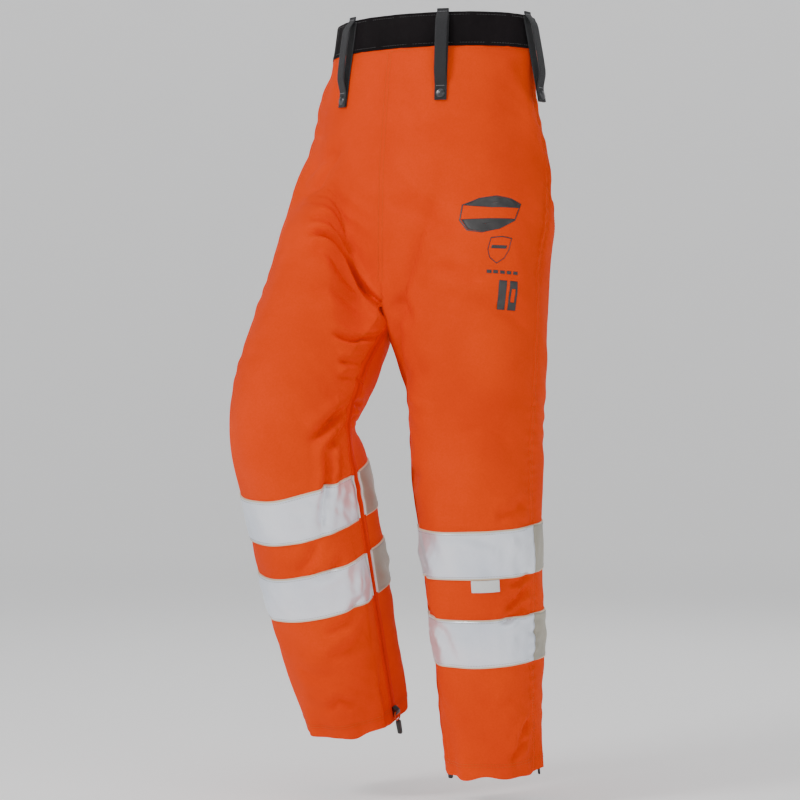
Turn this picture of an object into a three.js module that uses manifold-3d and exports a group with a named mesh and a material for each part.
// Chainsaw chaps: wrap-round protective leggings that hang from a waistband.
// Millimetres, +Z up. The wearer faces -Y, and their left side is +X.
// The origin is the centre of the waist opening, level with the waistband's top edge.
import * as THREE from 'three';
import { mergeVertices } from 'three/addons/utils/BufferGeometryUtils.js';
import Module from 'manifold-3d';

// ---- Cloth layers, from the outside in
const GAP = 0.3;
const CLOTH = 2;
const PAD = 7;
const LINING = 1.5;
const PAD_OUTER = -(CLOTH + GAP);
const LINING_OUTER = PAD_OUTER - PAD - GAP;
const LAYERS = -(LINING_OUTER - LINING);
const TAPE = 0.8;
const LABEL = 0.5;

// ---- Waist and hips: half width and half depth of the outer cloth at each height
const HIP_PROFILE = [
  { at: 0, halfWidth: 144, halfDepth: 101 },
  { at: 125, halfWidth: 169, halfDepth: 118.5 },
  { at: 200, halfWidth: 184, halfDepth: 127 },
  { at: 285, halfWidth: 193, halfDepth: 130 },
  { at: 360, halfWidth: 196, halfDepth: 130 },
];
const BAND_HEIGHT = 46;
const BAND_THICKNESS = 3;
const BAND_HALF_SPAN = 158;
const APRON_TOP = -(BAND_HEIGHT + 0.4);
const APRON_HALF_SPAN = 100;

// ---- Legs: a thigh and a shank, each hinged inside a round joint line
const HIP_HINGE = { x: 100, y: -30, z: -230 };
const HIP_REACH = 124;
const THIGH_LENGTH = 353;
const THIGH_PROFILE = [
  { at: 60, radius: 94, forward: 6 },
  { at: 100, radius: 95, forward: 8 },
  { at: 230, radius: 95, forward: 8 },
  { at: 353, radius: 88, forward: 0 },
];
const THIGH_BACK_TOP = 112;
const KNEE_REACH = 112;
const JOINT_CLEARANCE = 1.5;
const KNEE_BACK_RISE = 15;
const KNEE_SIDE_RISE = 60;
const KNEE_RADIUS = 88;
const HEM_RADIUS = 66;
const SHANK_LENGTH = 422;
const REST_POSE = { left: { hip: 4, knee: 10 }, right: { hip: 26.5, knee: 46 } };

// ---- Seams round a leg, in degrees from its front towards the other leg
const OUTER_SEAM = 90;
const ZIP_HALF_ANGLE = 5;
const SEAM_HALF_GAP = 0.4;
const LEG_COLUMNS = 14;
const PAD_MARGIN = 1;

// ---- Reflective tapes, label and hem tab, by distance below the knee
const UPPER_TAPE = [110, 172];
const LOWER_TAPE = [228, 290];
const LABEL_SPAN = [178, 194];

// ---- Belt loops
const LOOP_ANGLES = { front_left: 30, front_right: -30, side_left: 90, side_right: -90 };
const LOOP_WIDTH = 16;
const LOOP_STANDOFF = 11;
const BELT_SPAN = [18, 80];
const WEBBING = 1.8;
const STUD_RADIUS = 6;
const STUD_DROP = 111;

// ---- Zip slider and its pull
const SLIDER_WIDTH = 8;
const SLIDER_RISE = 14;
const EYE_HEIGHT = 4.4;
const EYE_RADIUS = 1.9;
const CORD = 2;
const GRIP_LENGTH = 21;

// ---- Back strap and side-release buckle
const BUCKLE_Z = -BAND_HEIGHT / 2;
const BUCKLE_HEIGHT = 44;
const BUCKLE_DEPTH = 11;
const BUCKLE_INNER = 101.6;
const SOCKET_LENGTH = 34;
const PLUG_LENGTH = 26;
const STRAP_HEIGHT = 38;

const ORANGE = { color: 0xd8580f, roughness: 0.6, metalness: 0 };
const BLACK = { color: 0x211c1d, roughness: 0.8, metalness: 0 };
const WEB = { color: 0x343436, roughness: 0.85, metalness: 0 };
const WADDING = { color: 0xe6e0d2, roughness: 0.95, metalness: 0 };
const LINING_CLOTH = { color: 0x2b2b2e, roughness: 0.9, metalness: 0 };
const REFLECTIVE = { color: 0xb9c2cb, roughness: 0.35, metalness: 0.2 };
const PLASTIC = { color: 0x171718, roughness: 0.45, metalness: 0 };
const METAL = { color: 0x55565a, roughness: 0.35, metalness: 0.9 };
const PAPER = { color: 0xe9e9e6, roughness: 0.7, metalness: 0 };

const wasm = await Module();
wasm.setup();

const radians = THREE.MathUtils.degToRad;
const EXTRUSION = { bevelEnabled: false, curveSegments: 4 };

function addPiece(parent, name, geometry, finish) {
  const piece = new THREE.Mesh(geometry, new THREE.MeshStandardMaterial(finish));
  piece.name = name;
  parent.add(piece);
}

function spread(from, to, steps) {
  return Array.from({ length: steps + 1 }, (_, i) => from + ((to - from) * i) / steps);
}

// A row of the table at a distance, with every column interpolated.
function rowAt(table, distance) {
  const last = table.length - 1;
  const next = Math.max(1, table.findIndex((row, i) => row.at >= distance || i === last));
  const low = table[next - 1];
  const high = table[next];
  const share = THREE.MathUtils.clamp((distance - low.at) / (high.at - low.at), 0, 1);
  const mix = (key) => [key, THREE.MathUtils.lerp(low[key], high[key], share)];
  return Object.fromEntries(Object.keys(low).map(mix));
}

function signedVolume(points, faces) {
  const [a, b, c] = [new THREE.Vector3(), new THREE.Vector3(), new THREE.Vector3()];
  let total = 0;
  for (let k = 0; k < faces.length; k += 3) {
    a.fromArray(points, faces[k] * 3);
    b.fromArray(points, faces[k + 1] * 3);
    c.fromArray(points, faces[k + 2] * 3);
    total += a.dot(b.cross(c)) / 6;
  }
  return total;
}

// A closed sheet: place(u, v, offset) gives a point, and offset runs from inner to outer.
function sheet(place, columns, rows, inner, outer) {
  const across = columns.length;
  const layer = across * rows.length;
  const points = [inner, outer].flatMap((offset) =>
    rows.flatMap((v) => columns.flatMap((u) => place(u, v, offset))));
  const faces = [];
  const quad = (a, b, c, d) => faces.push(a, b, c, a, c, d);
  for (let j = 0; j < rows.length - 1; j += 1) {
    for (let i = 0; i < across - 1; i += 1) {
      const k = j * across + i;
      quad(k, k + 1, k + 1 + across, k + across);
      quad(layer + k, layer + k + across, layer + k + 1 + across, layer + k + 1);
    }
  }
  const lastRow = rows.length - 1;
  const steps = (count) => Array.from({ length: count }, (_, i) => i);
  const rim = [
    ...steps(across),
    ...steps(lastRow - 1).map((j) => (j + 2) * across - 1),
    ...steps(across).map((i) => (lastRow + 1) * across - 1 - i),
    ...steps(lastRow - 1).map((j) => (lastRow - 1 - j) * across),
  ];
  rim.forEach((p, i) => {
    const q = rim[(i + 1) % rim.length];
    quad(p, p + layer, q + layer, q);
  });
  if (signedVolume(points, faces) < 0) {
    faces.reverse();
  }
  const geometry = new THREE.BufferGeometry();
  geometry.setAttribute('position', new THREE.Float32BufferAttribute(points, 3));
  geometry.setIndex(faces);
  return geometry;
}

// ---- Places on the hips and on the legs

// angle is in degrees from the front towards the wearer's left.
function onHips(angle, z, offset) {
  const { halfWidth, halfDepth } = rowAt(HIP_PROFILE, -z);
  const turn = radians(angle);
  return [(halfWidth + offset) * Math.sin(turn), -(halfDepth + offset) * Math.cos(turn), z];
}

// The apron ends just inside the joint line, a cylinder about the hip hinge.
function apronBottom(angle) {
  const { halfDepth } = HIP_PROFILE[HIP_PROFILE.length - 1];
  const depth = halfDepth * Math.cos(radians(angle)) + HIP_HINGE.y;
  return HIP_HINGE.z - Math.sqrt((HIP_REACH - JOINT_CLEARANCE) ** 2 - depth ** 2);
}

function onApron(angle, share, offset) {
  return onHips(angle, THREE.MathUtils.lerp(APRON_TOP, apronBottom(angle), share), offset);
}

// Across a leg, angle is in degrees from its front towards the other leg.
function acrossLeg(side, angle, radius, forward, drop) {
  const turn = radians(angle);
  return [-side * radius * Math.sin(turn), -forward - radius * Math.cos(turn), -drop];
}

function thighTop(angle) {
  const { radius, forward } = THIGH_PROFILE[0];
  const depth = forward + (radius - LAYERS) * Math.cos(radians(angle));
  return Math.sqrt(HIP_REACH ** 2 - depth ** 2);
}

function thighBackTop(angle) {
  return Math.max(thighTop(angle), THIGH_BACK_TOP);
}

function thighBottom(angle) {
  const { radius, forward } = rowAt(THIGH_PROFILE, THIGH_LENGTH - KNEE_REACH);
  const depth = forward + (radius - LAYERS) * Math.cos(radians(angle));
  return THIGH_LENGTH - Math.sqrt(KNEE_REACH ** 2 - depth ** 2);
}

function onThigh(side, top) {
  return (angle, share, offset) => {
    const drop = THREE.MathUtils.lerp(top(angle), thighBottom(angle), share);
    const { radius, forward } = rowAt(THIGH_PROFILE, drop);
    return acrossLeg(side, angle, radius + offset, forward, drop);
  };
}

function shankRadius(drop) {
  return THREE.MathUtils.lerp(KNEE_RADIUS, HEM_RADIUS, Math.max(drop, 0) / SHANK_LENGTH);
}

function shankRise(angle) {
  const depth = KNEE_RADIUS * Math.cos(radians(angle));
  return Math.sqrt((KNEE_REACH - JOINT_CLEARANCE) ** 2 - depth ** 2);
}

// Behind the knee the cloth is cut lower, which leaves room for the leg when the knee bends.
function shankBackRise(angle) {
  return THREE.MathUtils.lerp(KNEE_BACK_RISE, KNEE_SIDE_RISE, Math.sin(radians(angle)) ** 2);
}

// Below the knee, row is the drop in mm. Above it, row is a negative share of the knee's top.
function onShank(side, rise) {
  return (angle, row, offset) => {
    const drop = row < 0 ? row * rise(angle) : row;
    return acrossLeg(side, angle, shankRadius(drop) + offset, 0, drop);
  };
}

// ---- Profiles cut from flat outlines. In each, x is outwards, y is across and z is up.

// An outline in (outwards, up), of the given width across.
function sideProfile(outline, width, holes = []) {
  const shape = new THREE.Shape(outline.map(([x, y]) => new THREE.Vector2(x, y)));
  shape.holes.push(...holes);
  const geometry = new THREE.ExtrudeGeometry(shape, { ...EXTRUSION, depth: width });
  geometry.translate(0, 0, -width / 2);
  return geometry.rotateX(Math.PI / 2);
}

// An outline in (across, up), of the given thickness outwards from x = 0.
function faceProfile(shape, thickness) {
  const geometry = new THREE.ExtrudeGeometry(shape, { ...EXTRUSION, depth: thickness });
  return geometry.rotateX(Math.PI / 2).rotateZ(Math.PI / 2);
}

function roundedRectangle(path, halfWidth, low, high, radius) {
  path.moveTo(-halfWidth, low + radius);
  path.absarc(-halfWidth + radius, high - radius, radius, Math.PI, Math.PI / 2, true);
  path.absarc(halfWidth - radius, high - radius, radius, Math.PI / 2, 0, true);
  path.absarc(halfWidth - radius, low + radius, radius, 0, -Math.PI / 2, true);
  path.absarc(-halfWidth + radius, low + radius, radius, -Math.PI / 2, -Math.PI, true);
  return path;
}

function block([x0, x1], [y0, y1], [z0, z1]) {
  const geometry = new THREE.BoxGeometry(x1 - x0, y1 - y0, z1 - z0);
  return geometry.translate((x0 + x1) / 2, (y0 + y1) / 2, (z0 + z1) / 2);
}

function toSolid(geometry) {
  const bare = geometry.clone();
  bare.deleteAttribute('normal');
  bare.deleteAttribute('uv');
  const merged = mergeVertices(bare);
  const mesh = new wasm.Mesh({
    numProp: 3,
    vertProperties: new Float32Array(merged.attributes.position.array),
    triVerts: new Uint32Array(merged.index.array),
  });
  return new wasm.Manifold(mesh);
}

function toGeometry(solid) {
  const mesh = solid.getMesh();
  const geometry = new THREE.BufferGeometry();
  geometry.setAttribute('position', new THREE.BufferAttribute(mesh.vertProperties, 3));
  geometry.setIndex(new THREE.BufferAttribute(mesh.triVerts, 1));
  return geometry;
}

function cutFrom(geometry, ...cutters) {
  return toGeometry(cutters.reduce((solid, cutter) => solid.subtract(toSolid(cutter)), toSolid(geometry)));
}

// ---- Waistband and apron

function addWaist(parent) {
  const bandColumns = spread(-BAND_HALF_SPAN, BAND_HALF_SPAN, 32);
  const band = sheet(onHips, bandColumns, [0, -BAND_HEIGHT], -BAND_THICKNESS, 0);
  addPiece(parent, 'waistband', band, BLACK);
  const rows = spread(0, 1, 4);
  const leftColumns = spread(0, APRON_HALF_SPAN, 10).map((angle, i) => (i === 0 ? SEAM_HALF_GAP : angle));
  const rightColumns = leftColumns.map((angle) => -angle);
  addPiece(parent, 'apron_left_panel', sheet(onApron, leftColumns, rows, -CLOTH, 0), ORANGE);
  addPiece(parent, 'apron_right_panel', sheet(onApron, rightColumns, rows, -CLOTH, 0), ORANGE);
  const allColumns = [...rightColumns.slice(1).reverse(), 0, ...leftColumns.slice(1)];
  const lining = sheet(onApron, allColumns, rows, -CLOTH - 2 * GAP - LINING, -CLOTH - 2 * GAP);
  addPiece(parent, 'apron_lining', lining, LINING_CLOTH);
}

// ---- Belt loops: a webbing backing, and a strap that opens at a press stud

// A group on the hip cone, with x outwards and z up the slope of the cloth.
function placeOnHips(angle, z) {
  const [x, y] = onHips(angle, z, 0);
  const { halfWidth, halfDepth } = rowAt(HIP_PROFILE, -z);
  const turn = radians(angle);
  const heading = Math.atan2(-halfWidth * Math.cos(turn), halfDepth * Math.sin(turn));
  const low = onHips(angle, z - 1, 0);
  const slope = (low[0] - x) * Math.cos(heading) + (low[1] - y) * Math.sin(heading);
  const group = new THREE.Group();
  group.position.set(x, y, z);
  group.rotation.set(0, -Math.atan(slope), heading, 'ZYX');
  return group;
}

function addBeltLoop(parent, name, angle) {
  const group = placeOnHips(angle, 0);
  parent.add(group);
  const inner = 0.8;
  const face = inner + WEBBING;
  const rest = face + GAP;
  const foot = -STUD_DROP - 9;
  // The belt bears on the middle length of the backing's face.
  const backing = sideProfile([
    [inner, -3],
    [inner, foot],
    [face, foot],
    [face, -BELT_SPAN[1]],
    [face, -BELT_SPAN[0]],
    [face, -3],
  ], LOOP_WIDTH);
  addPiece(group, `belt_loop_${name}_backing`, backing, WEB);
  const strap = sideProfile([
    [rest, 4],
    [rest, -2],
    [LOOP_STANDOFF, -14],
    [LOOP_STANDOFF, -82],
    [rest, -100],
    [rest, foot],
    [rest + WEBBING, foot],
    [rest + WEBBING, -99],
    [LOOP_STANDOFF + WEBBING, -81],
    [LOOP_STANDOFF + WEBBING, -13],
    [rest + WEBBING, 0],
    [rest + WEBBING, 4],
  ], LOOP_WIDTH);
  addPiece(group, `belt_loop_${name}_strap`, strap, WEB);
  const capOutline = [[0, 0], [STUD_RADIUS, 0], [STUD_RADIUS, 0.8], [STUD_RADIUS - 1.4, 1.8], [0, 2.2]];
  const cap = new THREE.LatheGeometry(capOutline.map(([r, h]) => new THREE.Vector2(r, h)), 16);
  cap.rotateZ(-Math.PI / 2);
  cap.translate(rest + WEBBING + GAP, 0, -STUD_DROP);
  addPiece(group, `belt_loop_${name}_stud`, cap, METAL);
}

// ---- Back strap and buckle. x is outwards, and y runs towards the wearer's right.

function addBackStrap(parent) {
  const strapRows = [BUCKLE_Z + STRAP_HEIGHT / 2, BUCKLE_Z - STRAP_HEIGHT / 2];
  const leftStrap = sheet(onHips, spread(140, 164, 4), strapRows, GAP, GAP + WEBBING);
  addPiece(parent, 'back_strap_left', leftStrap, WEB);

  const group = new THREE.Group();
  group.position.set(0, BUCKLE_INNER, BUCKLE_Z);
  group.rotation.z = Math.PI / 2;
  parent.add(group);
  const half = BUCKLE_HEIGHT / 2;
  const middle = BUCKLE_DEPTH / 2;
  const outer = block([0, BUCKLE_DEPTH], [-SOCKET_LENGTH, 0], [-half, half]);
  const cavity = block([2, BUCKLE_DEPTH - 2], [-SOCKET_LENGTH + 6, 1], [-half + 3, half - 3]);
  const windows = block([3, BUCKLE_DEPTH - 3], [-24, -10], [-half - 1, half + 1]);
  const strapHalf = STRAP_HEIGHT / 2;
  const slotDepth = [middle - 1.2, middle + 1.2];
  const webbingSlot = block(slotDepth, [-SOCKET_LENGTH - 1, 0], [-strapHalf, strapHalf]);
  addPiece(group, 'buckle_socket', cutFrom(outer, cavity, windows, webbingSlot), PLASTIC);

  const plug = block([0, BUCKLE_DEPTH], [GAP, PLUG_LENGTH], [-half, half]);
  const tongue = block([3.2, BUCKLE_DEPTH - 3.2], [-20, 1], [-5, 5]);
  const strapSlot = block(slotDepth, [6, PLUG_LENGTH + 1], [-strapHalf - 0.4, strapHalf + 0.4]);
  const plugBody = toSolid(plug).add(toSolid(tongue)).subtract(toSolid(strapSlot));
  addPiece(group, 'buckle_plug', toGeometry(plugBody), PLASTIC);
  for (const [name, sign] of [['upper', 1], ['lower', -1]]) {
    const outline = new THREE.Shape();
    outline.moveTo(-GAP, sign * 13);
    outline.lineTo(-25, sign * 14);
    outline.lineTo(-25, sign * 16);
    outline.quadraticCurveTo(-23, sign * 18.5, -19, sign * 18.5);
    outline.lineTo(-11, sign * 18.5);
    outline.quadraticCurveTo(-9, sign * 17, -GAP, sign * 17);
    const arm = faceProfile(outline, 5).translate(middle - 2.5, 0, 0);
    addPiece(group, `buckle_latch_${name}`, arm, PLASTIC);
  }
  const rightStrap = block([middle - WEBBING / 2, middle + WEBBING / 2], [6.5, 104], [-strapHalf, strapHalf]);
  addPiece(group, 'back_strap_right', rightStrap, WEB);
  const adjuster = block([-2.5, BUCKLE_DEPTH], [63, 77], [-half, half]);
  const adjusterSlot = block([middle - 1.6, middle + 1.6], [62, 78], [-strapHalf - 0.5, strapHalf + 0.5]);
  addPiece(group, 'strap_adjuster', cutFrom(adjuster, adjusterSlot), PLASTIC);
}

// ---- Legs

// The front cloth spans from the outer seam to the zip, and the back cloth from the zip on round.
function legColumns() {
  const zipEdge = 90 - ZIP_HALF_ANGLE - SEAM_HALF_GAP;
  const seam = SEAM_HALF_GAP - OUTER_SEAM;
  return {
    front: spread(seam, zipEdge, LEG_COLUMNS),
    back: spread(180 - zipEdge, 360 - OUTER_SEAM - SEAM_HALF_GAP, LEG_COLUMNS),
    zip: [90 - ZIP_HALF_ANGLE, 90 + ZIP_HALF_ANGLE],
  };
}

function addLayers(group, name, place, columns, rows) {
  addPiece(group, `${name}_front_panel`, sheet(place, columns, rows, -CLOTH, 0), ORANGE);
  const padColumns = columns.slice(PAD_MARGIN, -PAD_MARGIN);
  const pad = sheet(place, padColumns, rows, PAD_OUTER - PAD, PAD_OUTER);
  addPiece(group, `${name}_pad`, pad, WADDING);
  const lining = sheet(place, padColumns, rows, LINING_OUTER - LINING, LINING_OUTER);
  addPiece(group, `${name}_lining`, lining, LINING_CLOTH);
}

function addThigh(group, name, side) {
  const columns = legColumns();
  const rows = spread(0, 1, 5);
  const front = onThigh(side, thighTop);
  const back = onThigh(side, thighBackTop);
  addLayers(group, `${name}_thigh`, front, columns.front, rows);
  addPiece(group, `${name}_thigh_back_panel`, sheet(back, columns.back, rows, -CLOTH, 0), ORANGE);
  addPiece(group, `${name}_thigh_zip`, sheet(back, columns.zip, rows, -CLOTH, 0), ORANGE);
}

// A group on the zip at a drop below the knee, with x outwards and z up the zip.
function placeOnZip(side, drop) {
  const taper = Math.atan((KNEE_RADIUS - HEM_RADIUS) / SHANK_LENGTH);
  const group = new THREE.Group();
  group.position.set(-side * shankRadius(drop), 0, -drop);
  group.rotation.set(0, taper, side > 0 ? Math.PI : 0, 'ZYX');
  return group;
}

function addZipSlider(parent, name, side) {
  const group = placeOnZip(side, SHANK_LENGTH - SLIDER_RISE);
  parent.add(group);
  const top = EYE_HEIGHT + EYE_RADIUS + 1.1;
  const eye = new THREE.Path();
  eye.absarc(EYE_HEIGHT, 0, EYE_RADIUS, 0, 2 * Math.PI, true);
  const body = sideProfile([
    [0.4, SLIDER_RISE / 2],
    [0.4, -SLIDER_RISE / 2],
    [1.9, -SLIDER_RISE / 2],
    [top - 1, -3.2],
    [top, -2],
    [top, 2],
    [top - 1, 3.2],
    [1.9, SLIDER_RISE / 2],
  ], SLIDER_WIDTH, [eye]);
  addPiece(group, `${name}_zip_slider`, body, METAL);

  const ringLow = -13;
  const innerHalf = SLIDER_WIDTH / 2 + 0.6;
  const ring = roundedRectangle(new THREE.Shape(), innerHalf + CORD, ringLow, CORD / 2, 3);
  const mouth = roundedRectangle(new THREE.Shape(), innerHalf, ringLow + CORD, -CORD / 2, 1);
  const mouthCutter = faceProfile(mouth, 2 * CORD).translate(-CORD / 2, 0, 0);
  const cord = cutFrom(faceProfile(ring, CORD), mouthCutter).translate(EYE_HEIGHT - CORD / 2, 0, 0);
  addPiece(group, `${name}_zip_pull_cord`, cord, ORANGE);

  const gripTop = ringLow - GAP;
  const grip = new THREE.Shape();
  grip.moveTo(-2.4, gripTop);
  grip.lineTo(2.4, gripTop);
  grip.quadraticCurveTo(3.6, gripTop - 1, 3.6, gripTop - 5);
  grip.lineTo(3, gripTop - GRIP_LENGTH + 2);
  grip.quadraticCurveTo(0, gripTop - GRIP_LENGTH - 1, -3, gripTop - GRIP_LENGTH + 2);
  grip.lineTo(-3.6, gripTop - 5);
  grip.quadraticCurveTo(-3.6, gripTop - 1, -2.4, gripTop);
  const gripBody = faceProfile(grip, 5).translate(EYE_HEIGHT - 2.5, 0, 0);
  addPiece(group, `${name}_zip_pull_grip`, gripBody, PLASTIC);
}

function addShank(group, name, side) {
  const columns = legColumns();
  const place = onShank(side, shankRise);
  const backPlace = onShank(side, shankBackRise);
  const rows = [-1, -0.5, 0, 140, 280, SHANK_LENGTH];
  addLayers(group, `${name}_shank`, place, columns.front, rows);
  addPiece(group, `${name}_shank_back_panel`, sheet(backPlace, columns.back, rows, -CLOTH, 0), ORANGE);
  addPiece(group, `${name}_shank_zip`, sheet(backPlace, columns.zip, rows, -CLOTH, 0), ORANGE);
  for (const [level, span] of [['upper', UPPER_TAPE], ['lower', LOWER_TAPE]]) {
    for (const half of ['front', 'back']) {
      const tape = sheet(place, columns[half], span, GAP, GAP + TAPE);
      addPiece(group, `${name}_${level}_tape_${half}`, tape, REFLECTIVE);
    }
  }
  const tabRows = [SHANK_LENGTH - 28, SHANK_LENGTH + 11];
  const tab = sheet(place, columns.back.slice(10, 13), tabRows, PAD_OUTER - WEBBING, PAD_OUTER);
  addPiece(group, `${name}_hem_tab`, tab, WEB);
  addZipSlider(group, name, side);
}

function addLeg(parent, name, side) {
  const thigh = new THREE.Group();
  thigh.position.set(side * HIP_HINGE.x, HIP_HINGE.y, HIP_HINGE.z);
  thigh.rotation.x = -radians(REST_POSE[name].hip);
  parent.add(thigh);
  addThigh(thigh, name, side);
  const shank = new THREE.Group();
  shank.position.z = -THIGH_LENGTH;
  shank.rotation.x = radians(REST_POSE[name].knee);
  thigh.add(shank);
  addShank(shank, name, side);
  return shank;
}

const chaps = new THREE.Group();
addWaist(chaps);
for (const [name, angle] of Object.entries(LOOP_ANGLES)) {
  addBeltLoop(chaps, name, angle);
}
addBackStrap(chaps);
addLeg(chaps, 'right', -1);
const leftShank = addLeg(chaps, 'left', 1);
const labelColumns = legColumns().front.slice(3, 6);
const label = sheet(onShank(1, shankRise), labelColumns, LABEL_SPAN, GAP, GAP + LABEL);
addPiece(leftShank, 'care_label', label, PAPER);

export default chaps;
